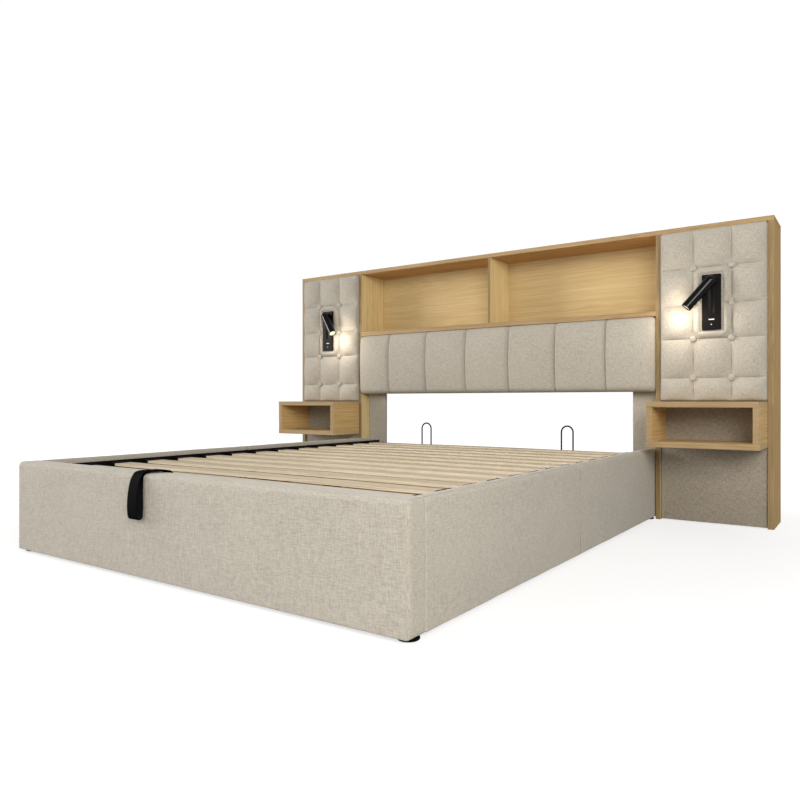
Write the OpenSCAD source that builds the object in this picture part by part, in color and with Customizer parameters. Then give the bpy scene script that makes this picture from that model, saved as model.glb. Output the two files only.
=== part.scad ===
// Upholstered ottoman bed with a wide oak headboard, two hanging nightstands
// and a gas-lifted slatted platform. Millimetres, X across the bed, Y from the
// foot to the head, Z up from the floor.

/* [Mattress and storage box] */
// Width of the mattress that the bed takes
mattress_w = 1600; // [900:10:1800]
// Length of the mattress that the bed takes
mattress_l = 2000; // [1900:10:2200]
// Free space on each side of the mattress
side_gap = 40; // [35:1:50]
// Free space along the mattress, up to the headboard's front edge
head_gap = 20; // [10:1:60]
// Thickness of the padded foot panel
foot_t = 75; // [50:1:110]
// Thickness of the padded side rails
rail_t = 45; // [40:1:80]
// Height of the rails above their underside
rail_h = 326; // [300:1:400]
// Height of the rails' underside above the floor
floor_gap = 10; // [8:1:20]
// Radius of the padded outer edges
soft_r = 16; // [8:1:22]
// Length of the front half of a side rail
rail_front_l = 1030; // [900:5:1080]
// Thickness of the boards under the stored things
floor_board_t = 6; // [4:1:12]
// Number of boards in the storage floor
floor_boards = 3; // [2:1:4]
// Width and height of the battens that carry the storage floor
batten = 20; // [15:1:20]
// Width of the middle beam under the storage floor
beam_w = 60; // [40:1:80]
// Height of the low board that closes the box at the head
head_board_h = 106; // [60:1:110]
// Length of the plates that tie the halves of a rail
joint_l = 120; // [90:5:180]
// Length and height of the angles that the closed platform rests on
rest_l = 60; // [40:5:90]
// Distance of those angles from the foot panel and from the rails' seam
rest_back = 150; // [100:5:250]
// Radius of a foot glide
glide_r = 28; // [20:1:32]

/* [Headboard] */
// Width of each side panel of the headboard, end panel included
wing_w = 478; // [430:1:560]
// Overall height of the headboard
hb_h = 1375; // [1300:5:1500]
// Depth of the headboard
hb_depth = 246; // [220:1:300]
// Thickness of the top board
top_t = 22; // [16:1:30]
// Thickness of the two end panels
end_t = 25; // [18:1:30]
// Thickness of the two uprights beside the shelf
stile_t = 22; // [16:1:28]
// Gap between the side rails and the uprights
stile_gap = 5; // [2:1:10]
// Underside of the long shelf above the floor
shelf_z = 968; // [940:1:1000]
// Thickness of the long shelf
shelf_t = 25; // [18:1:30]
// Thickness of the board that parts the shelf in two
divider_t = 15; // [12:1:22]
// Thickness of the back boards
back_t = 12; // [6:1:16]
// Inset of the back boards from the rear edges
back_inset = 4; // [0:1:10]
// Distance from the headboard's front edge to its legs
leg_setback = 74; // [60:1:90]
// Thickness of a leg
leg_t = 20; // [16:1:28]
// Width of a leg
leg_w = 129; // [100:1:160]

/* [Back cushion] */
// Underside of the cushion above the floor
cushion_z = 608; // [580:1:640]
// How far the cushion's crown stands in front of the headboard's edges
cushion_front = 49; // [30:1:60]
// Depth of the sewn channels
channel_depth = 18; // [8:1:24]
// Width of the five middle channels
channel_w = 263; // [240:1:275]
// Radius of the cushion's soft edges
cushion_r = 34; // [20:1:40]
// Thickness of the board behind the cushion
cushion_board_t = 15; // [10:1:20]

/* [Tufted side panels] */
// Distance from the uprights to the first column of buttons
tuft_x1 = 149; // [130:1:155]
// Width of the middle column of tufts
tuft_mid_w = 162; // [150:1:170]
// Heights of the seams between the rows of tufts, above the floor
tuft_rows = [669, 849, 1006, 1175];
// How far the tufts' seams stand in front of the headboard's edges
tuft_front = 15; // [5:1:20]
// Height of a tuft above its seams
tuft_crown = 13; // [6:1:18]
// Radius of a covered button
button_r = 12.5; // [8:0.5:13]
// Height of a covered button
button_h = 7; // [4:0.5:10]
// Rear face of the panels behind the headboard's front edges
panel_back = 30; // [25:1:40]
// Thickness of the plain padded panels below
lower_panel_t = 20; // [14:1:22]
// Setback of the plain panels from the headboard's front edges
lower_panel_setback = 8; // [4:1:12]

/* [Nightstands] */
// Top face of a nightstand above the floor
stand_z = 560; // [520:1:580]
// Height of a nightstand
stand_h = 202; // [160:1:240]
// How far a nightstand stands in front of the headboard's edges
stand_front = 245; // [200:1:300]
// Thickness of the nightstand boards
stand_t = 25; // [18:1:30]

/* [Reading lamps] */
// Width of the lamp's wall plate
plate_w = 80; // [70:1:88]
// Height of the lamp's wall plate
plate_h = 252; // [230:1:254]
// Underside of the wall plate above the floor
plate_z = 885; // [883:1:887]
// Thickness of the wall plate
plate_t = 14; // [13:1:18]
// Radius of the lamp's tube
tube_r = 23; // [15:1:24]
// Length of the tube from its pivot to its open end
tube_l = 156; // [120:1:165]
// Height of the tube's pivot above the wall plate's underside
pivot_up = 219; // [200:1:225]
// Gap between the swivel disc and the tube's round end
pivot_gap = 1; // [0.5:0.5:3]
// Thickness of the swivel disc
disc_t = 4; // [3:0.5:6]
// Angle of the tube away from straight down, towards the bed
lamp_swivel = 38.6; // [0:0.1:90]
// Angle of the tube away from the wall
lamp_tilt = 13; // [5:0.1:60]
// Radius of the tilt pin
tilt_pin_r = 3; // [2:0.5:4]
// Radius of the round switch
switch_r = 4; // [3:0.5:6]
// Travel of the round switch
switch_travel = 1.5; // [0.5:0.5:2]
// Height of the switch above the wall plate's underside
switch_up = 25; // [20:1:30]
// Height of the charging socket above the wall plate's underside
socket_up = 48; // [44:1:60]

/* [Slatted platform] */
// Gap between the platform and the side rails
platform_gap = 40; // [36:1:44]
// Gap between the platform and the foot panel
platform_foot_gap = 10; // [8:1:15]
// Gap between the platform and the headboard's legs
platform_head_gap = 14; // [12:1:20]
// Underside of the platform's tubes above the floor
frame_z = 268; // [255:1:272]
// Width of the platform's tubes
tube_w = 40; // [30:1:50]
// Height of the platform's tubes
tube_h = 30; // [20:1:34]
// Wall of the platform's tubes
tube_wall = 1.5; // [1:0.5:3]
// Height of the flat edge strips on the platform's long sides
edge_h = 23; // [12:1:28]
// Thickness of the edge strips
edge_t = 3; // [2:0.5:4]
// Number of slats
slat_n = 13; // [10:1:15]
// Width of a slat
slat_w = 73; // [50:1:80]
// Thickness of a slat
slat_t = 10; // [8:1:12]
// Rise of a slat's middle above its ends
slat_crown = 2; // [0:1:10]
// Distance from the platform's ends to the first and last slats
slat_margin = 80; // [70:1:100]
// Reach of a slat holder towards the middle of the bed
holder_l = 36; // [30:1:60]
// Wall of a slat holder
holder_wall = 3; // [2:0.5:4]
// Distance of each mattress retainer from the middle
retainer_x = 434; // [300:1:600]
// Width between the two legs of a retainer
retainer_w = 63; // [50:1:120]
// Top of the retainers above the floor
retainer_z = 436; // [400:1:445]
// Radius of the retainer's wire
wire_r = 4; // [3:0.5:5]

/* [Lift strap] */
// Width of the webbing
strap_w = 48; // [30:1:60]
// Thickness of the webbing
strap_t = 2; // [1.5:0.1:2.2]
// Distance of the strap from the middle
strap_x = -112; // [-300:1:300]
// Sideways run of the strap between the platform and the front
strap_skew = 38; // [0:1:60]
// Depth of the loop that the strap's fold leaves open
strap_loop = 23; // [12:1:40]
// Lower end of the strap's loop above the floor
strap_z = 194; // [150:1:230]

/* [Lift] */
// Distance from the platform's head end to the hinges
hinge_inset = 355; // [340:1:400]
// Height of the hinges above the floor
hinge_z = 245; // [240:1:247]
// Radius of the hinge pins
pin_r = 6; // [4:0.5:7]
// Thickness of the hinge plates
hinge_plate_t = 4; // [3:0.5:5]
// Distance from the hinge to both ends of a gas strut
strut_reach = 210; // [200:1:212]
// Angle of a strut's lower end below the hinge's level
strut_angle = 60; // [56:1:61]
// Outer radius of a strut's cylinder
strut_r = 11; // [9:0.5:12]
// Wall of a strut's cylinder
strut_wall = 1.5; // [1:0.5:2]
// Radius of a strut's rod
rod_r = 5; // [4:0.5:6]
// Length of a strut from its lower pin to the cylinder's mouth
strut_cylinder_l = 165; // [160:1:170]
// Radius of the studs that carry the strut's ends
stud_r = 4; // [3:0.5:5]
// Running clearance of pins in their holes
fit = 0.05; // [0.02:0.01:0.1]

/* [Hidden] */
$fn = 48;

seat = 0.3;                                     // gap of pieces that lie close to each other
eps = 1;                                        // how far a cut runs past a face

// Box
rail_x = mattress_w / 2 + side_gap;             // inner face of a side rail
bed_x = rail_x + rail_t;                        // outer face of a side rail
rail_top = floor_gap + rail_h;
hb_y = foot_t + mattress_l + head_gap;          // front edges of the headboard
leg_y = hb_y + leg_setback;                     // front faces of the headboard's legs
seam_y = foot_t + rail_front_l;                 // joint between the halves of a rail
bracket_t = 4;
bracket_leg = 50;
bracket_z0 = 60;
bracket_z1 = 210;
board_t = 15;
box_end_y = leg_y - bracket_t - 3.6 - board_t;  // front face of the low head board
floor_z = floor_gap + 4 + batten;               // underside of the storage floor

// Headboard
upright_x = bed_x + stile_gap;                  // inner face of an upright
panel_x = upright_x + stile_t;                  // inner end of a side panel
hb_w = 2 * (panel_x + wing_w);                  // width of the headboard
end_x = hb_w / 2 - end_t;                       // inner face of an end panel
hb_back = hb_y + hb_depth;
back_y = hb_back - back_inset - back_t;         // front face of the back boards
under_top = hb_h - top_t;
shelf_top = shelf_z + shelf_t;

// Side panels
tuft_cols = [panel_x + tuft_x1, panel_x + tuft_x1 + tuft_mid_w];
lamp_x = (tuft_cols[0] + tuft_cols[1]) / 2;
tuft_y = hb_y - tuft_front;                     // plane of the tufts' seams
panel_z = stand_z + 3;                          // lower edge of a tufted panel
pad_edge = 32;                                  // soft border round the flat seat of the lamp
plate_y = tuft_y - 2;                           // rear face of the wall plate
plate_face = plate_y - plate_t;
pivot_y = plate_face - disc_t - pivot_gap - tube_r;
pivot_z = plate_z + pivot_up;
tongue_t = 8;
slot_t = tongue_t + 1;

// Platform
platform_x = rail_x - platform_gap;
platform_y0 = foot_t + platform_foot_gap;
platform_y1 = leg_y - platform_head_gap;
frame_top = frame_z + tube_h;
slat_pitch = (platform_y1 - platform_y0 - 2 * slat_margin - slat_w) / (slat_n - 1);
holder_x1 = platform_x - edge_t - seat;
holder_x0 = holder_x1 - holder_l;
slat_end = holder_x1 - holder_wall - 10;
cross_y = (platform_y0 + platform_y1) / 2;
strap_gap = 5;                                  // from the foot panel to the strap's rear ply
strap_front = strap_gap + strap_loop + strap_t / 2 + 0.2;  // how far the strap stands in front

// Lift
hinge_y = platform_y1 - hinge_inset;
plate_in = rail_x - hinge_plate_t;              // inner face of a hinge base
strut_x = platform_x - 8 - strut_r;             // centre plane of a strut
eye_t = 10;
eye_r = 9;
strut_foot = [hinge_y - strut_reach * cos(strut_angle), hinge_z - strut_reach * sin(strut_angle)];
strut_head = [hinge_y - strut_reach, hinge_z];
strut_l = norm(strut_head - strut_foot);
strut_lean = atan2(strut_foot.x - strut_head.x, strut_head.y - strut_foot.y);
piston_l = 8;
strut_open = 97;                                // stroke of a strut
y_mid = (hb_back - strap_front) / 2;            // the origin lies under the middle of the bed

// Puts a piece's own coordinates, measured from the foot panel's face, round the origin.
module place(side = 1)
    translate([0, -y_mid, 0]) mirror([side < 0 ? 1 : 0, 0, 0]) children();

// Both sides of the bed.
module both() for (side = [-1, 1]) place(side) children();

// A box from its low corner to its high corner.
module block(a, b) translate(a) cube(b - a);

// Points of a rectangle with round corners, radii in the order ll, lr, ur, ul.
function arc(c, r, a) = [for (i = [0:6]) c + r * [cos(a + 15 * i), sin(a + 15 * i)]];
function rounded(a, b, r) = concat(
    arc([a.x + r[0], a.y + r[0]], r[0], 180), arc([b.x - r[1], a.y + r[1]], r[1], 270),
    arc([b.x - r[2], b.y - r[2]], r[2], 0), arc([a.x + r[3], b.y - r[3]], r[3], 90));

// Extrusions along X, Y and Z of outlines drawn in YZ, XZ and XY.
module along_x(x0, x1) translate([x0, 0, 0]) rotate([90, 0, 90]) linear_extrude(x1 - x0) children();
module along_y(y0, y1) translate([0, y1, 0]) rotate([90, 0, 0]) linear_extrude(y1 - y0) children();
module along_z(z0, z1) translate([0, 0, z0]) linear_extrude(z1 - z0) children();
module rod_x(x0, x1, r) translate([x0, 0, 0]) rotate([0, 90, 0]) cylinder(h = x1 - x0, r = r);
module rod_y(y0, y1, r) translate([0, y1, 0]) rotate([90, 0, 0]) cylinder(h = y1 - y0, r = r);

// A padded board: its section, plan and face outlines cross each other.
module padded(a, b, plan, section, face) {
    intersection() {
        along_z(a.z, b.z) polygon(rounded([a.x, a.y], [b.x, b.y], plan));
        along_x(a.x - eps, b.x + eps) polygon(rounded([a.y, a.z], [b.y, b.z], section));
        along_y(a.y - eps, b.y + eps) polygon(rounded([a.x, a.z], [b.x, b.z], face));
    }
}

// A closed skin over a grid of points, rows of equal length, with a flat back at y1.
module skin(rows, y1) {
    n = len(rows);
    m = len(rows[0]);
    front = [for (row = rows) for (p = row) p];
    back = [for (p = front) [p.x, y1, p.z]];
    rim = concat([for (i = [0:m - 1]) i], [for (j = [1:n - 1]) j * m + m - 1],
        [for (i = [m - 2:-1:0]) (n - 1) * m + i], [for (j = [n - 2:-1:1]) j * m]);
    k = len(rim);
    edge = [for (i = rim) back[i]];
    centre = [(front[0].x + front[n * m - 1].x) / 2, y1, (front[0].z + front[n * m - 1].z) / 2];
    polyhedron(
        points = concat(front, edge, [centre]),
        faces = concat(
            [for (j = [0:n - 2]) for (i = [0:m - 2]) [j * m + i, (j + 1) * m + i, j * m + i + 1]],
            [for (j = [0:n - 2]) for (i = [0:m - 2])
                [(j + 1) * m + i, (j + 1) * m + i + 1, j * m + i + 1]],
            [for (i = [0:k - 1]) [rim[i], rim[(i + 1) % k], n * m + i]],
            [for (i = [0:k - 1]) [rim[(i + 1) % k], n * m + (i + 1) % k, n * m + i]],
            [for (i = [0:k - 1]) [n * m + i, n * m + (i + 1) % k, n * m + k]]),
        convexity = 10);
}

module foot_panel() color("#cfc6b8") place() padded([-bed_x, 0, floor_gap], [bed_x, foot_t, rail_top],
    [soft_r, soft_r, 3, 3], [4, 3, soft_r / 2, soft_r], [6, 6, soft_r, soft_r]);

// Half of a side rail; its free ends are rounded a little where they meet.
module rail(y0, y1, r0, r1) color("#cdc4b6") padded([rail_x, y0, floor_gap], [bed_x, y1, rail_top],
    [2, r0, r1, 2], [3, 3, r1, r0], [2, 4, soft_r, soft_r]);

module rail_front(side) place(side) rail(foot_t, seam_y, 3, 9);
module rail_rear(side) place(side) rail(seam_y, leg_y, 9, 3);
module left_rail_front() rail_front(-1);
module left_rail_rear() rail_rear(-1);
module right_rail_front() rail_front(1);
module right_rail_rear() rail_rear(1);

// Heights of the bolts in a bracket, and where the brackets' bolts go along a rail.
bolt_zs = [bracket_z0 + 30, bracket_z1 - 30];
joint_ys = [seam_y - joint_l / 3, seam_y + joint_l / 3];
bolt_r = 4;
head_r = 6.5;
head_h = 2.6;

// Flat steel plates inside the box tie the two halves of each rail.
module rail_joint_plates() color("#2a2a2c") both() difference() {
    along_x(plate_in, rail_x)
        polygon(rounded([seam_y - joint_l / 2, bracket_z0], [seam_y + joint_l / 2, bracket_z1], [8, 8, 8, 8]));
    for (y = joint_ys, z = bolt_zs) translate([0, y, z]) rod_x(plate_in - eps, rail_x + eps, bolt_r);
}

// Angle brackets hold the rails to the foot panel and to the headboard's legs.
module angle(y, out) difference() {
    union() {
        block([rail_x - bracket_t, min(y, y + out * bracket_leg), bracket_z0],
            [rail_x, max(y, y + out * bracket_leg), bracket_z1]);
        block([rail_x - bracket_leg, min(y, y + out * bracket_t), bracket_z0],
            [rail_x, max(y, y + out * bracket_t), bracket_z1]);
    }
    for (z = bolt_zs) {
        translate([0, y + out * bracket_leg / 2, z]) rod_x(rail_x - bracket_t - eps, rail_x + eps, bolt_r);
        translate([rail_x - bracket_leg / 2, 0, z])
            rod_y(min(y, y + out * bracket_t) - eps, max(y, y + out * bracket_t) + eps, bolt_r);
    }
}
module rail_brackets() color("#2a2a2c") both() {
    angle(foot_t, 1);
    angle(leg_y, -1);
}

// Round bolt heads on the plates and brackets, each with its shank in the hole.
module bolt_x(y, z) translate([0, y, z]) {
    rod_x(plate_in - head_h, plate_in, head_r);
    rod_x(plate_in - head_h / 2, rail_x, bolt_r - fit);
}
module bolt_y(x, y, out, z) translate([x, 0, z]) {
    rod_y(min(y + out * bracket_t, y + out * (bracket_t + head_h)),
        max(y + out * bracket_t, y + out * (bracket_t + head_h)), head_r);
    rod_y(min(y, y + out * (bracket_t + head_h / 2)), max(y, y + out * (bracket_t + head_h / 2)),
        bolt_r - fit);
}
module bracket_bolts() color("#8d8f92") both() for (z = bolt_zs) {
    for (y = joint_ys) bolt_x(y, z);
    bolt_x(foot_t + bracket_leg / 2, z);
    bolt_x(leg_y - bracket_leg / 2, z);
    bolt_y(rail_x - bracket_leg / 2, foot_t, 1, z);
    bolt_y(rail_x - bracket_leg / 2, leg_y, -1, z);
}

// Screw-in glides under the foot panel, the rails' head ends and the floor beam.
glide_in = 30;                                  // from the box's sides
glide_back = 45;                                // from the foot panel's face
module glide(r, h) rotate_extrude()
    polygon([[0, 0], [r - 2, 0], [r, 2], [r, h * 0.55], [r * 0.45, h * 0.8], [r * 0.45, h], [0, h]]);
module foot_glides() color("#17171a") {
    both() {
        translate([bed_x - glide_in, glide_back, 0]) glide(glide_r, floor_gap);
        translate([bed_x - glide_in, leg_y - 80, 0]) glide(glide_r, floor_gap);
    }
    place() for (y = [foot_t + 160, (foot_t + box_end_y) / 2, box_end_y - 160])
        translate([0, y, 0]) glide(glide_r * 0.8, floor_gap);
}

// The storage floor lies on battens along the rails and on a beam in the middle.
module floor_battens() color("#d8bd8f") both()
    block([rail_x - batten, foot_t + seat, floor_z - batten], [rail_x, box_end_y - seat, floor_z]);
module floor_beam() color("#d8bd8f") place()
    block([-beam_w / 2, foot_t + seat, floor_gap], [beam_w / 2, box_end_y - seat, floor_z]);
module storage_floor() color("#b9a27c") place() {
    l = (box_end_y - foot_t - seat) / floor_boards;
    for (i = [0:floor_boards - 1])
        block([-rail_x + 2, foot_t + seat + i * l, floor_z],
            [rail_x - 2, foot_t + (i + 1) * l, floor_z + floor_board_t]);
}
module head_end_board() color("#cabf9f") place()
    block([-plate_in + head_h + seat, box_end_y, floor_z - batten],
        [plate_in - head_h - seat, box_end_y + board_t, floor_z - batten + head_board_h]);

// Oak boards of the headboard.
edge_r = 1.5;
module headboard_top() color("#c9a26d") place() along_x(-hb_w / 2, hb_w / 2)
    polygon(rounded([hb_y, under_top], [hb_back, hb_h], [edge_r, edge_r, edge_r, edge_r]));
module upright(x0, x1) along_z(0, under_top)
    polygon(rounded([x0, hb_y], [x1, hb_back], [edge_r, edge_r, edge_r, edge_r]));
module headboard_end_left() color("#caa46f") place(-1) upright(end_x, hb_w / 2);
module headboard_end_right() color("#caa46f") place(1) upright(end_x, hb_w / 2);
module inner_upright_left() color("#caa46f") place(-1) upright(upright_x, panel_x);
module inner_upright_right() color("#caa46f") place(1) upright(upright_x, panel_x);
module shelf_board() color("#caa46f") place() along_x(-upright_x, upright_x)
    polygon(rounded([hb_y, shelf_z], [hb_back, shelf_top], [edge_r, edge_r, edge_r, edge_r]));
module shelf_divider() color("#caa46f") place() along_z(shelf_top, under_top)
    polygon(rounded([-divider_t / 2, hb_y], [divider_t / 2, back_y], [edge_r, edge_r, 0.1, 0.1]));
module shelf_back() color("#d4b27c") place()
    block([-upright_x, back_y, shelf_top], [upright_x, back_y + back_t, under_top]);
module side_backs() color("#d4b27c") both()
    block([panel_x, back_y, floor_gap], [end_x, back_y + back_t, under_top]);

// Padded legs behind the cushion, as tall as the shelf's underside.
module headboard_legs() color("#bfb5a5") both()
    block([upright_x - leg_w, leg_y, 0], [upright_x, leg_y + leg_t, shelf_z]);
module cushion_board() color("#cabf9f") place()
    block([-upright_x + 3, leg_y - cushion_board_t, cushion_z], [upright_x - 3, leg_y, shelf_z - seat]);

// The back cushion: sewn channels that crown between their seams and sink at the edges.
cushion_x = upright_x - 2;
cushion_top = shelf_z - 2;
cushion_edge = hb_y - cushion_front + cushion_r + channel_depth;
seams = concat([-cushion_x], [for (k = [-2.5:2.5]) k * channel_w], [cushion_x]);
function soft_edge(d, r) = d >= r ? 1 : sqrt(max(0, 1 - pow(1 - d / r, 2)));
function bulge(u) = pow(max(0, 4 * u * (1 - u)), 0.45);
cushion_us = [0, 0.05, 0.16, 0.35, 0.65, 0.84, 0.95];
cushion_xs = concat([for (c = [0:6]) for (u = cushion_us)
    seams[c] + u * (seams[c + 1] - seams[c])], [cushion_x]);
cushion_fs = concat([for (c = [0:6]) for (u = cushion_us) bulge(u)], [0]);
cushion_zs = let (h = cushion_top - cushion_z)
    [0, 5, 14, cushion_r, h / 4, h / 2, 3 * h / 4, h - cushion_r, h - 14, h - 5, h];
module headboard_cushion() color("#d3cabc") place() {
    h = cushion_top - cushion_z;
    n = len(cushion_xs) - 1;
    skin([for (v = cushion_zs) [for (i = [0:n])
        let (x = cushion_xs[i],
            e = soft_edge(min(v, h - v), cushion_r) * soft_edge(cushion_x - abs(x), cushion_r),
            pull = i % 7 == 0 && i > 0 && i < n ? 1.5 : 0,
            z = v + pull * (v < h / 2 ? 1 : -1) * (min(v, h - v) < 1 ? 1 : 0))
        [x, cushion_edge - e * (cushion_r + channel_depth * cushion_fs[i]), cushion_z + z]]],
        leg_y - cushion_board_t - seat);
}

// Side panels of square tufts: each swells between the seams, sinks round the
// buttons, and one double tuft has a flat seat for the lamp.
gap_rows = concat([panel_z], tuft_rows, [under_top - seat]);
gap_cols = concat([panel_x + seat], tuft_cols, [end_x - seat]);
function lines(cuts) = concat([for (i = [0:len(cuts) - 2])
    let (a = cuts[i], b = cuts[i + 1]) for (p = [a, a + 15, a + pad_edge, (a + b) / 2, b - pad_edge,
        b - 15]) p], [cuts[len(cuts) - 1]]);
function place_in(v, cuts, i = 0) = i >= len(cuts) - 2 || v < cuts[i + 1] ? i : place_in(v, cuts, i + 1);
function swell(v, a, b) = pow(max(0, 4 * (v - a) * (b - v) / pow(b - a, 2)), 0.4);
function in_lamp_tuft(x, z) = x > tuft_cols[0] && x < tuft_cols[1] && z > tuft_rows[1] && z < tuft_rows[3];
function in_seat(x, z) = x > tuft_cols[0] + pad_edge - 1 && x < tuft_cols[1] - pad_edge + 1
    && z > tuft_rows[1] + pad_edge - 1 && z < tuft_rows[3] - pad_edge + 1;
function near_button(x, z) = min([for (c = tuft_cols) for (r = tuft_rows) norm([x - c, z - r])]);
function dimple(d) = min(1, max(0, (d - 22) / 26));
function tuft(x, z) = in_seat(x, z) ? 2 :
    let (i = place_in(x, gap_cols), j = place_in(z, gap_rows), lamp = in_lamp_tuft(x, z),
        edge = min(x - gap_cols[0], gap_cols[3] - x, z - gap_rows[0], gap_rows[5] - z))
    tuft_crown * dimple(near_button(x, z)) * swell(x, gap_cols[i], gap_cols[i + 1])
        * swell(z, lamp ? tuft_rows[1] : gap_rows[j], lamp ? tuft_rows[3] : gap_rows[j + 1])
        - 12 * pow(max(0, 1 - edge / 15), 2);
module tufted_panel() color("#d3cabc") skin([for (z = lines(gap_rows)) [for (x = lines(gap_cols))
    [x, tuft_y - tuft(x, z), z]]], hb_y + panel_back);
module tufted_panel_left() place(-1) tufted_panel();
module tufted_panel_right() place(1) tufted_panel();

// Covered buttons: a low dome on a short barrel.
module tuft_buttons() color("#d6cdc0") both() for (x = tuft_cols, z = tuft_rows)
    translate([x, tuft_y, z]) rotate([90, 0, 0]) {
        r = (pow(button_r, 2) + pow(button_h - 2, 2)) / (2 * (button_h - 2));
        cylinder(h = 2, r = button_r);
        intersection() {
            translate([0, 0, button_h - r]) sphere(r);
            translate([0, 0, 1.9]) cylinder(h = button_h, r = button_r);
        }
    }

module lower_panels() color("#bfb5a5") both() {
    y = hb_y + lower_panel_setback;
    padded([panel_x + seat, y, 4], [end_x - seat, y + lower_panel_t, panel_z - seat],
        [5, 5, 1, 1], [5, 1, 1, 5], [2, 2, 2, 2]);
}

// Nightstands: two shelves with two sides between them, open to the front.
stand_y0 = hb_y - stand_front;
stand_y1 = hb_y + lower_panel_setback - seat;
module stand_shelf(z) along_x(panel_x + seat, end_x - seat)
    polygon(rounded([stand_y0, z], [stand_y1, z + stand_t], [edge_r, edge_r, edge_r, edge_r]));
module stand_side(x) along_z(stand_z - stand_h + stand_t, stand_z - stand_t)
    polygon(rounded([x, stand_y0], [x + stand_t, stand_y1], [edge_r, edge_r, edge_r, edge_r]));
module nightstand_shelves(side) color("#cda874") place(side) {
    stand_shelf(stand_z - stand_t);
    stand_shelf(stand_z - stand_h);
}
module nightstand_sides(side) color("#cda874") place(side) {
    stand_side(panel_x + seat);
    stand_side(end_x - seat - stand_t);
}
module nightstand_shelves_left() nightstand_shelves(-1);
module nightstand_shelves_right() nightstand_shelves(1);
module nightstand_sides_left() nightstand_sides(-1);
module nightstand_sides_right() nightstand_sides(1);

// Wall plate of a lamp, with the shallow bed of the tube, the charging socket's
// pocket and the switch's hole.
socket_w = 28;
socket_h = 9;
groove_depth = 5;
groove_r = tube_r + 1;
module lamp_plate() color("#1b1b1d") difference() {
    along_y(plate_face, plate_y) polygon(rounded([lamp_x - plate_w / 2, plate_z],
        [lamp_x + plate_w / 2, plate_z + plate_h], [3, 3, 3, 3]));
    translate([lamp_x, plate_face + groove_depth - groove_r, plate_z + socket_up + 30])
        cylinder(h = pivot_up - socket_up - 52, r = groove_r);
    block([lamp_x - socket_w / 2, plate_face - eps, plate_z + socket_up - socket_h / 2],
        [lamp_x + socket_w / 2, plate_face + 12, plate_z + socket_up + socket_h / 2]);
    translate([lamp_x, 0, plate_z + switch_up]) rod_y(plate_face - eps, plate_face + 9, switch_r + 0.3);
}
module lamp_plate_left() place(-1) lamp_plate();
module lamp_plate_right() place(1) lamp_plate();

// White tongues of the charging sockets.
module charging_sockets() color("#f2f2f0") both()
    block([lamp_x - socket_w / 2 + 2, plate_face + 1, plate_z + socket_up - 1.5],
        [lamp_x + socket_w / 2 - 2, plate_face + 12, plate_z + socket_up + 1.5]);

// Round switch that is pressed into the wall plate.
module lamp_switch(side) color("#232326") place(side) translate([lamp_x, 0, plate_z + switch_up])
    difference() {
        rod_y(plate_face - switch_travel - 0.5, plate_face + 9 - switch_travel - 0.5, switch_r);
        rod_y(plate_face - switch_travel - eps, plate_face - switch_travel, switch_r / 2);
    }
module lamp_switch_left() lamp_switch(-1);
module lamp_switch_right() lamp_switch(1);

// The tube's own frame: the pivot is the origin, the tube runs along -Z, the
// wall lies at +Y and the tilt pin along X.
module at_pivot() translate([lamp_x, pivot_y, pivot_z]) rotate([0, lamp_swivel, 0]) children();
module tilted() rotate([-lamp_tilt, 0, 0]) children();
module lamp_knuckle(side) color("#1d1d20") place(side) at_pivot() difference() {
    union() {
        rod_y(tube_r + pivot_gap, tube_r + pivot_gap + disc_t, tube_r - 2);
        rod_x(-tongue_t / 2, tongue_t / 2, tilt_pin_r + 5);
        block([-tongue_t / 2, 0, -tilt_pin_r - 4], [tongue_t / 2, tube_r + pivot_gap + 1, tilt_pin_r + 4]);
    }
    rod_x(-tongue_t, tongue_t, tilt_pin_r + fit);
}
module lamp_knuckle_left() lamp_knuckle(-1);
module lamp_knuckle_right() lamp_knuckle(1);

lens_t = 3;
lens_r = tube_r - 3;
module lamp_head(side) color("#1d1d20") place(side) at_pivot() tilted() {
    difference() {
        union() {
            sphere(tube_r);
            translate([0, 0, -tube_l]) cylinder(h = tube_l, r = tube_r);
        }
        block([-slot_t / 2, -tilt_pin_r - 6.5, -tilt_pin_r - 6.5], [slot_t / 2, tube_r + eps, tube_r + eps]);
        translate([0, 0, -tube_l - eps]) cylinder(h = tube_l - tube_r - 8 + eps, r = lens_r + fit);
    }
    rod_x(-slot_t / 2 - eps, slot_t / 2 + eps, tilt_pin_r);
}
module lamp_head_left() lamp_head(-1);
module lamp_head_right() lamp_head(1);
module lamp_lens(side) color("#ffd9a0") place(side) at_pivot() tilted()
    translate([0, 0, -tube_l + 8 - lens_t - seat]) cylinder(h = lens_t, r = lens_r);
module lamp_lens_left() lamp_lens(-1);
module lamp_lens_right() lamp_lens(1);

// Fixed hinge plate on the rail with the hinge pin on its boss and the strut's lower stud.
module stud(x0, at) translate([0, at.x, at.y]) {
    rod_x(strut_x + eye_t / 2 + seat, x0 + eps / 2, stud_r + 3);
    rod_x(strut_x - eye_t / 2 - seat - 1, x0, stud_r);
    rod_x(strut_x - eye_t / 2 - seat - 3, strut_x - eye_t / 2 - seat, stud_r + 2);
}
module hinge_base() color("#262628") {
    along_x(plate_in, rail_x) union() {
        polygon(rounded([hinge_y - 34, strut_foot.y - 18], [hinge_y + 34, hinge_z + 32], [10, 10, 14, 14]));
        polygon(rounded([strut_foot.x - 26, strut_foot.y - 18], [hinge_y, strut_foot.y + 60],
            [10, 10, 10, 24]));
    }
    translate([0, hinge_y, hinge_z]) {
        rod_x(platform_x - seat - 5, platform_x - seat, pin_r + 4);
        rod_x(platform_x - seat - 1, plate_in + 1, pin_r);
        rod_x(platform_x + hinge_plate_t + seat, plate_in + 1, pin_r + 4);
    }
    stud(plate_in, strut_foot);
}
module hinge_base_left() place(-1) hinge_base();
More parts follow.
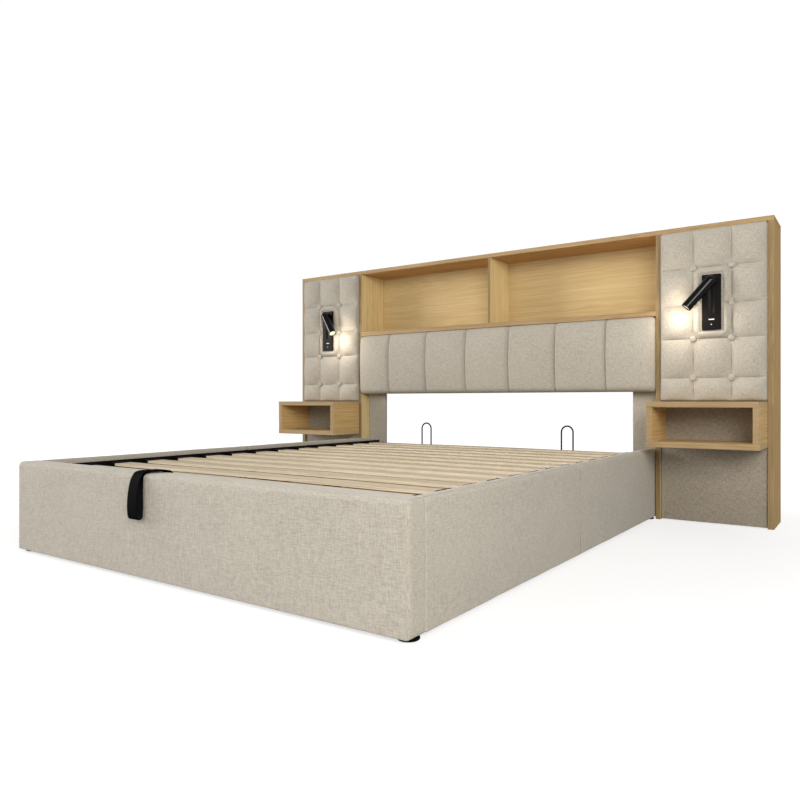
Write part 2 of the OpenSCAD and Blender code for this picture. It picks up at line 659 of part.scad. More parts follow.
module hinge_base_right() place(1) hinge_base();

// Plate on the outside of the platform's tube: it turns on the hinge pin and
// carries the strut's upper stud.
module top_bracket() color("#2c2c2f") {
    difference() {
        along_x(platform_x, platform_x + hinge_plate_t) union() {
            polygon(rounded([strut_head.x - 22, hinge_z - 17], [hinge_y + 20, hinge_z + 30],
                [14, 17, 4, 4]));
            polygon(rounded([strut_head.x - 60, hinge_z + 10], [hinge_y + 60, frame_top - 4], [6, 6, 3, 3]));
        }
        translate([0, hinge_y, hinge_z])
            rod_x(platform_x - eps, platform_x + hinge_plate_t + eps, pin_r + fit);
    }
    stud(platform_x, strut_head);
}
module top_bracket_left() place(-1) top_bracket();
module top_bracket_right() place(1) top_bracket();

// Gas strut in its own frame: the lower eye is the origin and the axis is +Z.
module at_strut(side) place() translate([side * strut_x, strut_foot.x, strut_foot.y])
    rotate([strut_lean, 0, 0]) children();
module eye() rod_x(-eye_t / 2, eye_t / 2, eye_r);
bore_r = strut_r - strut_wall;
bore_z0 = eye_r + 8;
gland_l = 8;
rod_tip = strut_cylinder_l - gland_l - piston_l - 2 - strut_open;
module strut_cylinder(side) color("#1f1f22") at_strut(side) difference() {
    union() {
        eye();
        translate([0, 0, 2]) cylinder(h = bore_z0 - 6, r = stud_r + 1);
        translate([0, 0, bore_z0 - 5]) cylinder(h = strut_cylinder_l - bore_z0 + 5, r = strut_r);
    }
    translate([0, 0, bore_z0]) cylinder(h = strut_cylinder_l - gland_l - bore_z0, r = bore_r);
    translate([0, 0, strut_cylinder_l - gland_l - eps]) cylinder(h = gland_l + 2 * eps, r = rod_r + 0.5);
    rod_x(-eye_t, eye_t, stud_r + fit);
}
module strut_cylinder_left() strut_cylinder(-1);
module strut_cylinder_right() strut_cylinder(1);
module strut_rod(side) color("#b9bcc0") at_strut(side) difference() {
    union() {
        translate([0, 0, rod_tip]) cylinder(h = piston_l, r = bore_r - 0.5);
        translate([0, 0, rod_tip + 1]) cylinder(h = strut_l - rod_tip - 3, r = rod_r);
        translate([0, 0, strut_l]) eye();
        translate([0, 0, strut_l - eye_r - 9]) cylinder(h = 10, r = rod_r + 2);
    }
    translate([0, 0, strut_l]) rod_x(-eye_t, eye_t, stud_r + fit);
}
module strut_rod_left() strut_rod(-1);
module strut_rod_right() strut_rod(1);

// Shelves on the rails that the closed platform rests on, with rubber pads.
rest_ys = [foot_t + rest_back, seam_y + rest_back];
rest_z = frame_z - seat - 4;
module platform_rests() color("#262628") both() for (y = rest_ys) {
    block([plate_in, y, rest_z - rest_l], [rail_x, y + rest_l, rest_z]);
    block([platform_x - tube_w + 6, y, rest_z - 4], [rail_x - eps, y + rest_l, rest_z]);
}
module rest_pads() color("#111113") both() for (y = rest_ys)
    block([platform_x - tube_w + 8, y + rest_l / 10, rest_z],
        [platform_x - 4, y + rest_l * 0.9, frame_z - seat]);

// Welded frame of hollow tubes: two long sides, two ends, a middle tube each way,
// and a flat strip on edge along each side.
module bars(w, x, y0, y1, z0, z1) {
    for (s = [-1, 1]) block([s * x - w / 2, y0, z0], [s * x + w / 2, y1, z1]);
    block([-w / 2, y0, z0], [w / 2, y1, z1]);
}
module frame_bars(w, ends, z0, z1) {
    bars(w, platform_x - tube_w / 2, platform_y0 - ends, platform_y1 + ends, z0, z1);
    for (y = [platform_y0 + tube_w / 2, cross_y, platform_y1 - tube_w / 2])
        block([-platform_x + tube_w / 2, y - w / 2, z0], [platform_x - tube_w / 2, y + w / 2, z1]);
}
module platform_frame() color("#1d1d1f") {
    place() difference() {
        frame_bars(tube_w, 0, frame_z, frame_top);
        frame_bars(tube_w - 2 * tube_wall, eps, frame_z + tube_wall, frame_top - tube_wall);
    }
    both() block([platform_x - edge_t, platform_y0, frame_top - tube_wall / 2],
        [platform_x, platform_y1, frame_top + edge_h]);
}

// Bent birch slats: flat in their holders and raised in the middle.
slat_z = frame_top + holder_wall + 0.2;
slat_flat = holder_x0 - 5;
function rise(x) = abs(x) >= slat_flat ? 0 : slat_crown * (1 + cos(180 * x / slat_flat)) / 2;
slat_steps = 20;
slat_xs = concat([-slat_end], [for (i = [-slat_steps:slat_steps]) slat_flat * i / slat_steps], [slat_end]);
module slats() color("#e3cda6") place() for (k = [0:slat_n - 1])
    along_y(platform_y0 + slat_margin + k * slat_pitch, platform_y0 + slat_margin + k * slat_pitch + slat_w)
        polygon(concat([for (x = slat_xs) [x, slat_z + rise(x)]],
            [for (i = [len(slat_xs) - 1:-1:0]) [slat_xs[i], slat_z + slat_t + rise(slat_xs[i])]]));

// Plastic holders on the side tubes, each with a pocket for a slat's end.
module slat_holders() color("#151517") both() for (k = [0:slat_n - 1]) difference() {
    y = platform_y0 + slat_margin + k * slat_pitch;
    block([holder_x0, y - holder_wall, frame_top], [holder_x1, y + slat_w + holder_wall,
        slat_z + slat_t + 0.2 + holder_wall]);
    block([holder_x0 - eps, y - 0.2, slat_z - 0.2],
        [slat_end + 0.4, y + slat_w + 0.2, slat_z + slat_t + 0.2]);
}

// Wire loops on foot plates keep the mattress from sliding to the headboard.
retainer_y = platform_y1 - tube_w / 2;
module mattress_retainers() color("#161618") both() translate([retainer_x, retainer_y, 0]) {
    r = retainer_w / 2;
    z = retainer_z - wire_r - r;
    along_z(frame_top, frame_top + 3)
        polygon(rounded([-r - 14, -15], [r + 14, 15], [6, 6, 6, 6]));
    for (s = [-1, 1]) translate([s * r, 0, frame_top + 1]) cylinder(h = z - frame_top - 1, r = wire_r);
    translate([0, 0, z]) rotate([90, 0, 0]) rotate_extrude(angle = 180) translate([r, 0]) circle(wire_r);
}

// Lift strap: folded webbing, fixed on the platform's end, over the foot panel
// and down in front of it, where the fold hangs open as a loop. Each point is
// a place along the bed and a height.
strap_top = rail_top + 4;
strap_drop = strap_top - strap_z;
strap_way = [[platform_y0 + 36, frame_top + 1.3], [platform_y0 + 27, frame_top + 1.3],
    [platform_y0 + 18, frame_top + 2.6], [platform_y0 + 8, frame_top + 13], [foot_t + 1.4, strap_top - 5],
    [foot_t - 12, strap_top + 0.5], [foot_t / 2, strap_top + 0.5], [16, strap_top], [2, strap_top - 6],
    [0.6 - strap_gap, strap_top - 24], [-strap_gap, strap_z + 70], [-strap_gap - 0.5, strap_z + 18]];
strap_back = concat([for (p = [[0.18, 0.025], [0.5, 0], [0.82, 0.03], [0.98, 0.14], [1, 0.36],
        [0.86, 0.58], [0.63, 0.75], [0.33, 0.88]])
        [-strap_gap - p.x * strap_loop, strap_z + 1 + p.y * strap_drop]],
    [[-1, strap_top - 1.6], [14, strap_top + 3.3], [foot_t / 2, strap_top + 3.9],
    [foot_t - 10, strap_top + 3.8], [foot_t + 4.8, strap_top - 2.4], [platform_y0 + 11.6, frame_top + 14.6],
    [platform_y0 + 20, frame_top + 5.9], [platform_y0 + 28, frame_top + 4.4],
    [platform_y0 + 36, frame_top + 4.4]]);
function spline(p, i, t) = let (a = p[max(i - 1, 0)], b = p[i], c = p[i + 1], d = p[min(i + 2, len(p) - 1)])
    0.5 * (2 * b + (c - a) * t + (2 * a - 5 * b + 4 * c - d) * t * t + (3 * b - a - 3 * c + d) * t * t * t);
function smooth(p, n) = concat([for (i = [0:len(p) - 2]) for (k = [0:n - 1]) spline(p, i, k / n)],
    [p[len(p) - 1]]);
module lift_strap() color("#141416") place() {
    way = smooth(concat(strap_way, strap_back), 4);
    n = len(way);
    slope = [for (i = [0:n - 1]) let (d = way[min(i + 1, n - 1)] - way[max(i - 1, 0)]) d / norm(d)];
    share = [for (p = way) min(1, max(0, (platform_y0 + 10 - p.x) / (platform_y0 + 10)))];
    corners = [for (i = [0:n - 1]) let (s = [-slope[i].y, slope[i].x] * strap_t / 2,
        x = strap_x + strap_skew * (0.5 - share[i]), w = strap_w / 2, a = way[i] + s, b = way[i] - s)
        each [[x - w, a.x, a.y], [x + w, a.x, a.y], [x + w, b.x, b.y], [x - w, b.x, b.y]]];
    polyhedron(points = corners, faces = concat(
        [[0, 1, 2], [0, 2, 3], [4 * n - 4, 4 * n - 2, 4 * n - 3], [4 * n - 4, 4 * n - 1, 4 * n - 2]],
        [for (i = [0:n - 2]) for (k = [0:3]) [4 * i + k, 4 * i + 4 + k, 4 * i + (k + 1) % 4]],
        [for (i = [0:n - 2]) for (k = [0:3])
            [4 * i + 4 + k, 4 * i + 4 + (k + 1) % 4, 4 * i + (k + 1) % 4]]), convexity = 10);
}

foot_panel();
left_rail_front();
left_rail_rear();
right_rail_front();
right_rail_rear();
rail_joint_plates();
rail_brackets();
bracket_bolts();
foot_glides();
storage_floor();
floor_battens();
floor_beam();
head_end_board();
headboard_top();
headboard_end_left();
headboard_end_right();
inner_upright_left();
inner_upright_right();
shelf_board();
shelf_divider();
shelf_back();
side_backs();
headboard_legs();
cushion_board();
headboard_cushion();
tufted_panel_left();
tufted_panel_right();
tuft_buttons();
lower_panels();
nightstand_shelves_left();
nightstand_shelves_right();
nightstand_sides_left();
nightstand_sides_right();
lamp_plate_left();
lamp_plate_right();
charging_sockets();
hinge_base_left();
hinge_base_right();
platform_rests();
rest_pads();
platform_frame();
slats();
slat_holders();
mattress_retainers();
lift_strap();
top_bracket_left();
top_bracket_right();
strut_cylinder_left();
strut_cylinder_right();
strut_rod_left();
strut_rod_right();
lamp_knuckle_left();
lamp_knuckle_right();
lamp_head_left();
lamp_head_right();
lamp_lens_left();
lamp_lens_right();
lamp_switch_left();
lamp_switch_right();
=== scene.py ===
"""An upholstered ottoman bed with an oak headboard, tufted side panels and hanging nightstands.
Lengths in the sections are millimetres: X across the bed, Y from the foot panel's face to the
head, Z up from the floor. They become metres round the middle of the bed in mesh()."""
import math
import bpy
import numpy as np
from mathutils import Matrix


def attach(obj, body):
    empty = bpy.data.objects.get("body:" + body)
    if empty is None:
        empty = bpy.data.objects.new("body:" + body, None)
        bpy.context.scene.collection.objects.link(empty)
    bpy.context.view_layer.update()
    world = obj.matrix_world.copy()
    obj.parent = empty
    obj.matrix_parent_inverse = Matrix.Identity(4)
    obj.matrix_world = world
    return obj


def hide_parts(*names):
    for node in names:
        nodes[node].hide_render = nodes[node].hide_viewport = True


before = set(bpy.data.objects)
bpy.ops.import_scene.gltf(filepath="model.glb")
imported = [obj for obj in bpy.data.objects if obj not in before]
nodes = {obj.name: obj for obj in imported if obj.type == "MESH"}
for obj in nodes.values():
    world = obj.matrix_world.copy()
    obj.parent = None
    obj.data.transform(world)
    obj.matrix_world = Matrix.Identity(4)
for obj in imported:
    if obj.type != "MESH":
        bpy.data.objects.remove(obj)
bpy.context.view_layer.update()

# ---------------------------------------------------------------- camera
# The camera stands low at the right of the foot end and looks level across the bed
# to the headboard's left side.
MIDDLE = 1155.9
scene = bpy.context.scene
camera = bpy.data.objects.new("camera", bpy.data.cameras.new("camera"))
scene.collection.objects.link(camera)
camera.location = (1.77247, -1.30645 - MIDDLE / 1000, 0.5622)
camera.rotation_euler = (math.pi / 2, 0, math.radians(34.87))
camera.data.lens = 31.06
camera.data.sensor_width = 36
camera.data.shift_y = 0.0014
camera.data.clip_start = 0.05
scene.camera = camera
scene.view_settings.view_transform = "Standard"


# ---------------------------------------------------------------- floor and light
# A wide white studio floor before a white backdrop. A strong soft light stands far to the
# left and grazes the padding; others stand at the right corner, the right side and the foot end.
class Tone:
    """The value on a socket of a finish; + - * / between tones and numbers add Math nodes."""

    def __init__(self, finish, socket):
        self.finish, self.socket = finish, socket

    def math(self, operation, *terms, **settings):
        return self.finish.node("ShaderNodeMath", dict(operation=operation, **settings),
            dict(enumerate(terms)))

    def __add__(self, other): return self.math("ADD", self, other)
    def __sub__(self, other): return self.math("SUBTRACT", self, other)
    def __mul__(self, other): return self.math("MULTIPLY", self, other)
    def __truediv__(self, other): return self.math("DIVIDE", self, other)
    def __radd__(self, other): return self.math("ADD", other, self)
    def __rsub__(self, other): return self.math("SUBTRACT", other, self)
    def __rmul__(self, other): return self.math("MULTIPLY", other, self)
    def sine(self): return self.math("SINE", self)
    def clamp(self): return self.math("ADD", self, 0.0, use_clamp=True)


class Finish:
    """A material in the making: the shader's constants come first, then node() adds the rest."""

    def __init__(self, name, **constants):
        self.material = bpy.data.materials.new(name)
        self.material.use_nodes = True
        self.tree = self.material.node_tree
        self.shader = self.tree.nodes["Principled BSDF"]
        for key, value in constants.items():
            self.shader.inputs[key.replace("_", " ")].default_value = value

    def node(self, kind, settings=None, sockets=None, out=0):
        """A node of that type: its settings, then the values or links of its sockets."""
        node = self.tree.nodes.new(kind)
        for key, value in (settings or {}).items():
            if key == "stops":
                ramp = node.color_ramp.elements
                while len(ramp) < len(value):
                    ramp.new(0.5)
                for element, (place, colour) in zip(ramp, value):
                    element.position, element.color = place, colour
            else:
                setattr(node, key, value)
        for key, value in (sockets or {}).items():
            if isinstance(value, Tone):
                self.tree.links.new(value.socket, node.inputs[key])
            else:
                node.inputs[key].default_value = value
        return Tone(self, node.outputs[out])

    def place(self):
        """Places on the piece, in metres."""
        return self.node("ShaderNodeTexCoord", out="Object")

    def cloud(self, at, per_metre, detail=2.0, distortion=0.0):
        """Noise from 0 to 1 with that many spots to the metre along X, Y and Z."""
        at = self.node("ShaderNodeMapping", None, {"Vector": at, "Scale": per_metre})
        return self.node("ShaderNodeTexNoise", None,
            {"Vector": at, "Scale": 1.0, "Detail": detail, "Distortion": distortion})

    def ramp(self, tone, *stops):
        """Colours that follow a tone, as pairs of place and colour."""
        return self.node("ShaderNodeValToRGB", {"stops": stops}, {"Fac": tone})

    def blend(self, share, first, second):
        """Two colours mixed by a share."""
        return self.node("ShaderNodeMix", {"data_type": "RGBA"}, {0: share, 6: first, 7: second}, out=2)

    def bump(self, height, depth, strength=1.0):
        """Relief of that many millimetres."""
        return self.node("ShaderNodeBump", None,
            {"Height": height, "Distance": depth / 1000, "Strength": strength})

    def done(self, **links):
        """Links tones to the shader's sockets and gives the material."""
        for key, tone in links.items():
            self.tree.links.new(tone.socket, self.shader.inputs[key.replace("_", " ")])
        return self.material


BLACK = (0.0, 0.0, 0.0, 1.0)


def colour(code, gain=1.0):
    """Linear colour of a six-digit sRGB code, times a gain."""
    c = np.array([int(code[i:i + 2], 16) for i in (0, 2, 4)]) / 255
    linear = np.where(c <= 0.04045, c / 12.92, ((c + 0.055) / 1.055) ** 2.4)
    return tuple(float(v) * gain for v in linear) + (1.0,)


def grey(level):
    """Linear grey of that brightness."""
    return (level, level, level, 1.0)


FLOOR_HALF, FLOOR_DOWN = 12.0, 0.0005


def studio_floor():
    """A square of 24 m just under the glides, as a grid of two by two corners. To the camera it
    glows, least under the bed; to the other pieces it glows at a tenth of that."""
    x, y = np.meshgrid([-FLOOR_HALF, FLOOR_HALF], [-FLOOR_HALF, FLOOR_HALF])
    data = bpy.data.meshes.new("studio_floor")
    data.from_pydata(np.stack([x, y, 0 * x - FLOOR_DOWN], -1).reshape(-1, 3).tolist(), [],
        [(0, 1, 3, 2)])
    floor = bpy.data.objects.new("studio_floor", data)
    scene.collection.objects.link(floor)
    paint = Finish("studio_white", Roughness=0.95, Specular_IOR_Level=0.1, Emission_Strength=1.0)
    at = paint.place()
    grain = paint.cloud(at, (3, 3, 3))
    far = paint.node("ShaderNodeVectorMath", {"operation": "LENGTH"}, {0: at}, out=1)
    glow = paint.ramp(far / FLOOR_HALF, (0.12, grey(0.68)), (0.2, grey(0.86)), (0.3, grey(0.95)))
    seen = paint.node("ShaderNodeLightPath") * 0.9 + 0.1
    glow = paint.blend(seen, BLACK, glow)
    data.materials.append(paint.done(Emission_Color=glow,
        Base_Color=paint.ramp(grain, (0.0, colour("a0a0a0")), (1.0, colour("a5a5a5")))))


def soft_light(name, place, aim, size, power, tint):
    """A square area light at a place, turned to aim at a point."""
    light = bpy.data.objects.new(name, bpy.data.lights.new(name, "AREA"))
    light.data.size, light.data.energy, light.data.color = size, power, tint
    light.location = place
    x, y, z = np.array(aim, float) - np.array(place, float)
    light.rotation_euler = (math.atan2(math.hypot(x, y), -z), 0, math.atan2(-x, y))
    scene.collection.objects.link(light)


studio_floor()
# The backdrop lights the bed by SKY_LIGHT; to the camera it is brighter, so that it is white.
SKY_LIGHT, SKY_SEEN_MORE = 0.28, 0.74
scene.world = scene.world or bpy.data.worlds.new("studio")
scene.world.use_nodes = True
air = scene.world.node_tree
sky = air.nodes["Background"]
sky.inputs["Color"].default_value = (1.0, 1.0, 1.0, 1.0)
seen = air.nodes.new("ShaderNodeMath")
seen.operation = "MULTIPLY_ADD"
seen.inputs[1].default_value, seen.inputs[2].default_value = SKY_SEEN_MORE, SKY_LIGHT
air.links.new(air.nodes.new("ShaderNodeLightPath").outputs["Is Camera Ray"], seen.inputs[0])
air.links.new(seen.outputs[0], sky.inputs["Strength"])
soft_light("left_light", (-11.0, -4.8, 3.25), (0, 0.3, 0.6), 4.4, 1080, (1.0, 0.975, 0.935))
soft_light("right_light", (2.9, -3.0, 1.9), (0.8, -0.4, 0.3), 1.6, 103, (1.0, 0.97, 0.91))
soft_light("side_light", (4.2, -1.6, 1.9), (0.8, -0.2, 0.4), 1.6, 42, (1.0, 0.965, 0.9))
soft_light("front_light", (-0.8, -4.2, 1.6), (0, -0.5, 0.4), 1.6, 32, (1.0, 0.99, 0.97))


# ---------------------------------------------------------------- foot panel
# A particle board wrapped in foam and linen: plain faces, rounded top and ends, the
# cover pulled tight and stapled underneath. It is bolted between the side rails.
def linen(name, light, dark, fleck=1.0):
    """Woven linen: slubs stretched along X, Y and Z over a fine thread, on a faint cloud."""
    f = Finish(name, Roughness=0.93, Sheen_Weight=0.22, Sheen_Roughness=0.5, Specular_IOR_Level=0.25)
    at = f.place()
    slubs = (f.cloud(at, (50, 400, 400), 3.0) + f.cloud(at, (400, 50, 400), 3.0)
        + f.cloud(at, (400, 400, 50), 3.0)) / 3
    cloudy = f.cloud(at, (5, 5, 5), 2.0)
    thread = f.cloud(at, (1500, 1500, 1500), 1.0)
    tone = ((slubs - 0.5) * (2.7 * fleck) + (cloudy - 0.5) * 0.2 + (thread - 0.5) * 0.8 + 0.5).clamp()
    weave = slubs * 0.6 + thread * 0.4
    return f.done(Base_Color=f.ramp(tone, (0.0, colour(dark)), (1.0, colour(light))),
        Normal=f.bump(weave, 0.5, 0.7), Roughness=0.9 + 0.08 * tone)


def waves(points, seed, length, count=9):
    """A sum of sines in random directions, between about -1 and 1, of roughly that wavelength."""
    chance = np.random.default_rng(seed)
    way = chance.normal(size=(count, 3))
    way *= (2 * math.pi / length * chance.uniform(0.6, 1.7, (count, 1))
        / np.linalg.norm(way, axis=1, keepdims=True))
    return np.sin(points @ way.T + chance.uniform(0, 7, count)).sum(-1) / math.sqrt(count) / 1.4


def stations(cuts, count):
    """Places across a row of cells, close together at the seams: (1 - cos) / 2 of each width."""
    u = (1 - np.cos(np.linspace(0, math.pi, count + 1)[:-1])) / 2
    return np.append((cuts[:-1, None] + u * np.diff(cuts)[:, None]).ravel(), cuts[-1])


def outline(low, high, radii, step=12.0, front=None):
    """Points round a rectangle with four round corners, in the order low-low, high-low,
    high-high, low-high, with the sides cut into steps and the last one at given places."""
    low, high = np.array(low, float), np.array(high, float)
    turn = np.linspace(0, math.pi / 2, 7)
    ways = []
    for k, r in enumerate(radii):
        side = np.array([(k in (1, 2)), (k > 1)])
        centre = np.where(side, high - r, low + r)
        a = math.pi + k * math.pi / 2 + turn
        ways.append(centre + r * np.stack([np.cos(a), np.sin(a)], 1))
    out = []
    for k in range(4):
        a, b = ways[k][-1], ways[(k + 1) % 4][0]
        n = max(1, round(np.linalg.norm(b - a) / step))
        share = np.arange(1, n) / n
        if k == 3 and front is not None:
            share = (a[1] - front[::-1]) / (a[1] - b[1])
            share = share[(share > 0.002) & (share < 0.998)]
        out += [ways[k], a + (b - a) * share[:, None]]
    return np.vstack(out)


def padded_rows(low, high, axis, radii, ends, step=12.0, along=None, front=None):
    """Rows of points round a padded board: its outline carried along an axis, drawn in by a
    quarter circle at each end, and closed over the ends in shrinking rings. The places along
    it and up its front can be given."""
    low, high = np.array(low, float), np.array(high, float)
    rest = [k for k in range(3) if k != axis]
    ring = outline(low[rest], high[rest], radii, step, front)
    mid, half = (low[rest] + high[rest]) / 2, (high[rest] - low[rest]) / 2
    turn = np.linspace(0, math.pi / 2, 7)
    rings = np.array([0.03, 0.25, 0.5, 0.72, 0.88])
    first = [(low[axis], ends[0], k) for k in rings]
    first += [(low[axis] + ends[0] * (1 - math.cos(a)), ends[0] * (1 - math.sin(a)), 1.0)
        for a in turn]
    last = [(high[axis] - ends[1] * (1 - math.cos(a)), ends[1] * (1 - math.sin(a)), 1.0)
        for a in turn[::-1]]
    last += [(high[axis], ends[1], k) for k in rings[::-1]]
    n = max(2, round((high[axis] - low[axis] - sum(ends)) / step))
    places = np.linspace(first[-1][0], last[0][0], n + 1)[1:-1] if along is None \
        else along[(along > first[-1][0] + 0.5) & (along < last[0][0] - 0.5)]
    middle = [(v, 0.0, 1.0) for v in places]
    rows = np.array(first + middle + last)
    points = np.zeros((len(rows), len(ring), 3))
    points[..., axis] = rows[:, :1]
    shrink = (half - rows[:, 1:2]) / half * rows[:, 2:3]
    for i, k in enumerate(rest):
        points[..., k] = mid[i] + (ring[:, i] - mid[i]) * shrink[:, i:i + 1]
    return points


def normals(rows):
    """Outward directions of a closed skin of rows, from the slopes along and round it."""
    along = np.gradient(rows, axis=0)
    around = np.roll(rows, -1, 1) - np.roll(rows, 1, 1)
    n = np.cross(around, along)
    n /= np.maximum(np.linalg.norm(n, axis=2, keepdims=True), 1e-9)
    out = rows - rows.mean(1, keepdims=True)
    return -n if (n * out).sum() < 0 else n


def skin(rows):
    """Points and faces of a closed skin: rows run along the piece, each goes once round it, and
    the first and last are drawn together into a point."""
    count, n = rows.shape[:2]
    points = np.vstack([rows[:1].mean(1), rows.reshape(-1, 3), rows[-1:].mean(1)])
    i, j = np.meshgrid(np.arange(count - 1), np.arange(n), indexing="ij")
    a, b = 1 + i * n + j, 1 + i * n + (j + 1) % n
    quads = np.stack([a, b, b + n, a + n], -1).reshape(-1, 4)
    k, far = np.arange(n), 1 + (count - 1) * n
    start = np.stack([0 * k, 1 + (k + 1) % n, 1 + k], 1)
    end = np.stack([0 * k + len(points) - 1, far + k, far + (k + 1) % n], 1)
    corner = points[quads]
    inside = np.einsum("ij,ij->i", corner[:, 0], np.cross(corner[:, 1], corner[:, 2])).sum() \
        + np.einsum("ij,ij->i", corner[:, 0], np.cross(corner[:, 2], corner[:, 3])).sum()
    faces = quads.tolist() + start.tolist() + end.tolist()
    return points, faces if inside > 0 else [f[::-1] for f in faces]


def mesh(name, parts, material, body="bed"):
    """One object from lists of points in millimetres and faces; it rides on a body."""
    points, faces, start = [], [], 0
    for p, f in parts:
        points.append(p)
        faces += [[v + start for v in face] for face in f]
        start += len(p)
    points = (np.vstack(points) - (0, MIDDLE, 0)) / 1000
    data = bpy.data.meshes.new(name)
    data.from_pydata(points.tolist(), [], faces)
    data.update()
    data.shade_smooth()
    data.materials.append(material)
    piece = bpy.data.objects.new(name, data)
    scene.collection.objects.link(piece)
    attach(piece, body)
    return piece


def upholstered(name, boards, material, node, slack=0.9, seed=1):
    """Padded boards in one piece: their faces ease in and out a little, as foam under linen does."""
    parts = []
    for low, high, axis, radii, ends in boards:
        rows = padded_rows(low, high, axis, radii, ends)
        rows = rows + normals(rows) * (slack * waves(rows, seed, 260) - slack)[..., None]
        parts.append(skin(rows))
    piece = mesh(name, parts, material)
    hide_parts(node)


cover = linen("cover_linen", "c4beb3", "8f887c")
BED, FOOT, FLOOR_GAP, TOP, PROUD = 885, 75, 10, 336, 2.5
upholstered("foot_panel_cover", [((-BED - PROUD, 0, FLOOR_GAP), (BED + PROUD, FOOT, TOP), 0,
    (4, 3, 8, 16), (12, 12))], cover, "foot_panel", slack=0.0, seed=3)

# ---------------------------------------------------------------- side rails
# Each side is two padded boards that meet at a seam, their meeting ends a little
# rounded. Plates inside the box tie the halves; angle brackets hold the rails' ends.
RAIL, SEAM, LEG = 840, 1105, 2169
HALVES = (("front", FOOT, SEAM - 3, (7, 4)), ("rear", SEAM + 2, LEG, (1.5, 3)))
for side, word in ((-1, "left"), (1, "right")):
    low, high = (RAIL, BED) if side > 0 else (-BED, -RAIL)
    edges = (4, 3, 16, 16) if side > 0 else (3, 4, 16, 16)
    for half, y0, y1, ends in HALVES:
        upholstered(f"{word}_rail_{half}_cover",
            [((low, y0, FLOOR_GAP), (high, y1, TOP), 1, edges, ends)],
            cover, f"{word}_rail_{half}", slack=0.6, seed=11 + side + len(half))


def dress(material, *names):
    """Gives solids that are right as they are their finish."""
    for name in names:
        nodes[name].data.materials.clear()
        nodes[name].data.materials.append(material)


def enamel(name, tint, dull=0.42, metal=0.0, shine=0.08):
    """Baked powder coat: a fine orange peel with faint scuffs along the surface."""
    f = Finish(name, Metallic=metal, Specular_IOR_Level=shine)
    at = f.place()
    peel = f.cloud(at, (900, 900, 900), 2.0)
    scuff = f.cloud(at, (14, 60, 60), 4.0)
    return f.done(Base_Color=f.ramp(scuff, (0.3, colour(tint)), (0.8, colour(tint, 1.35))),
        Roughness=dull + 0.18 * (scuff - 0.5), Normal=f.bump(peel, 0.08, 0.5))


black_steel = enamel("black_powder_coat", "0c0c0d")
zinc = enamel("zinc_plate", "8e9094", 0.34, 0.9, 0.5)
black_plastic = enamel("black_plastic", "0a0a0b", 0.6, shine=0.06)
dress(black_steel, "rail_joint_plates", "rail_brackets", "hinge_base_left", "hinge_base_right",
    "platform_rests")
dress(zinc, "bracket_bolts")
dress(black_plastic, "foot_glides", "rest_pads")


# ---------------------------------------------------------------- storage box
# Three raw boards lie on battens along the rails and on a beam in the middle, and
# a low board closes the box at the head.
def timber(name, along, tones, figure=0.1, pores=0.3, gloss=0.5, band=None, edge=None):
    """Sawn wood: fine and broad streaks stretched along one axis, a faint distorted figure of
    late wood, and short dark pores. In front of the plane Y = band it has darker tones, painted shade
    on the boards' front faces."""
    f = Finish(name, Specular_IOR_Level=0.3)
    at = f.place()

    def stretch(long, cross):
        """Spots to the metre: few along the grain, many across it."""
        return tuple(long if k == along else cross for k in range(3))

    fine = f.cloud(at, stretch(3.0, 330), 3.0)
    broad = f.cloud(at, stretch(0.9, 90), 3.0)
    shade = f.cloud(at, stretch(0.5, 7), 2.0)
    late = (f.cloud(at, stretch(0.5, 7), 1.0, 0.3) * 170.0).sine() * 0.5 + 0.5
    pore = f.cloud(at, stretch(30, 1100), 2.0)
    tone = ((fine - 0.5) * 1.3 + (broad - 0.5) * 0.45 + (shade - 0.5) * 0.35
        + (late - 0.5) * figure + 0.5).clamp()
    mark = ((pore - 0.62) * 9).clamp()

    def streaks(codes):
        """Pale, middle and dark of the wood over the tone."""
        return f.ramp(tone, *zip((0.1, 0.5, 0.92), map(colour, codes.split())))

    base = streaks(tones)
    # painted shade: in front of Y = band the faces take darker tones
    if edge:
        depth = f.node("ShaderNodeSeparateXYZ", None, {0: at}, out=1)
        base = f.blend(((band - MIDDLE) / 1000 - depth) * 4000, base, streaks(edge))
    base = f.blend(mark * pores, base, colour(tones.split()[-1]))
    return f.done(Base_Color=base, Roughness=gloss + 0.16 * fine,
        Normal=f.bump(fine * 0.7 - mark * 0.5, 0.2, 0.5))


raw_board = timber("raw_board", 0, "c9b68f b8a27b a08a64", 0.1, 0.2, 0.7)
pine = timber("batten_pine", 1, "e2c893 d4b67c b8935a", 0.5, 0.2, 0.6)
dress(raw_board, "storage_floor", "head_end_board", "cushion_board")
dress(pine, "floor_battens", "floor_beam")

# ---------------------------------------------------------------- headboard boards
# Oak-faced boards: the top lies over the end panels, the long shelf sits between the
# inner uprights with a divider in its middle and a back board. Grain follows each board. The
# inner uprights and the divider take a paler copy of the oak, painted light inside the shelf;
# the front faces take darker tones, painted shade.
HEAD, SHELF = 2095, 968
# painted shade: this oak is more orange than the rest, for the warm shade under the top and shelf
oak_across = timber("oak_across", 0, "d0a872 bb925f 977143",
    band=HEAD + 1, edge="bc9f72 a38862 856d48")
oak_ends = timber("oak_ends", 2, "d6b67c c2a168 9e7e4c",
    band=HEAD + 1, edge="a9916b 977f5a 7a6241")
# painted light: a paler copy of the oak for the uprights and divider inside the shelf
painted_light_oak_inner = timber("painted_light_oak_inner", 2, "f0deac e0ca95 bba16f",
    band=HEAD + 1, edge="9e8763 8b7553 70593a")
oak_back = timber("oak_back", 0, "d8c190 cab180 b49a6b", 0.14, 0.2)
dress(oak_across, "headboard_top", "shelf_board")
dress(oak_ends, "headboard_end_left", "headboard_end_right")
dress(painted_light_oak_inner, "inner_upright_left", "inner_upright_right", "shelf_divider")
dress(oak_back, "shelf_back", "side_backs")

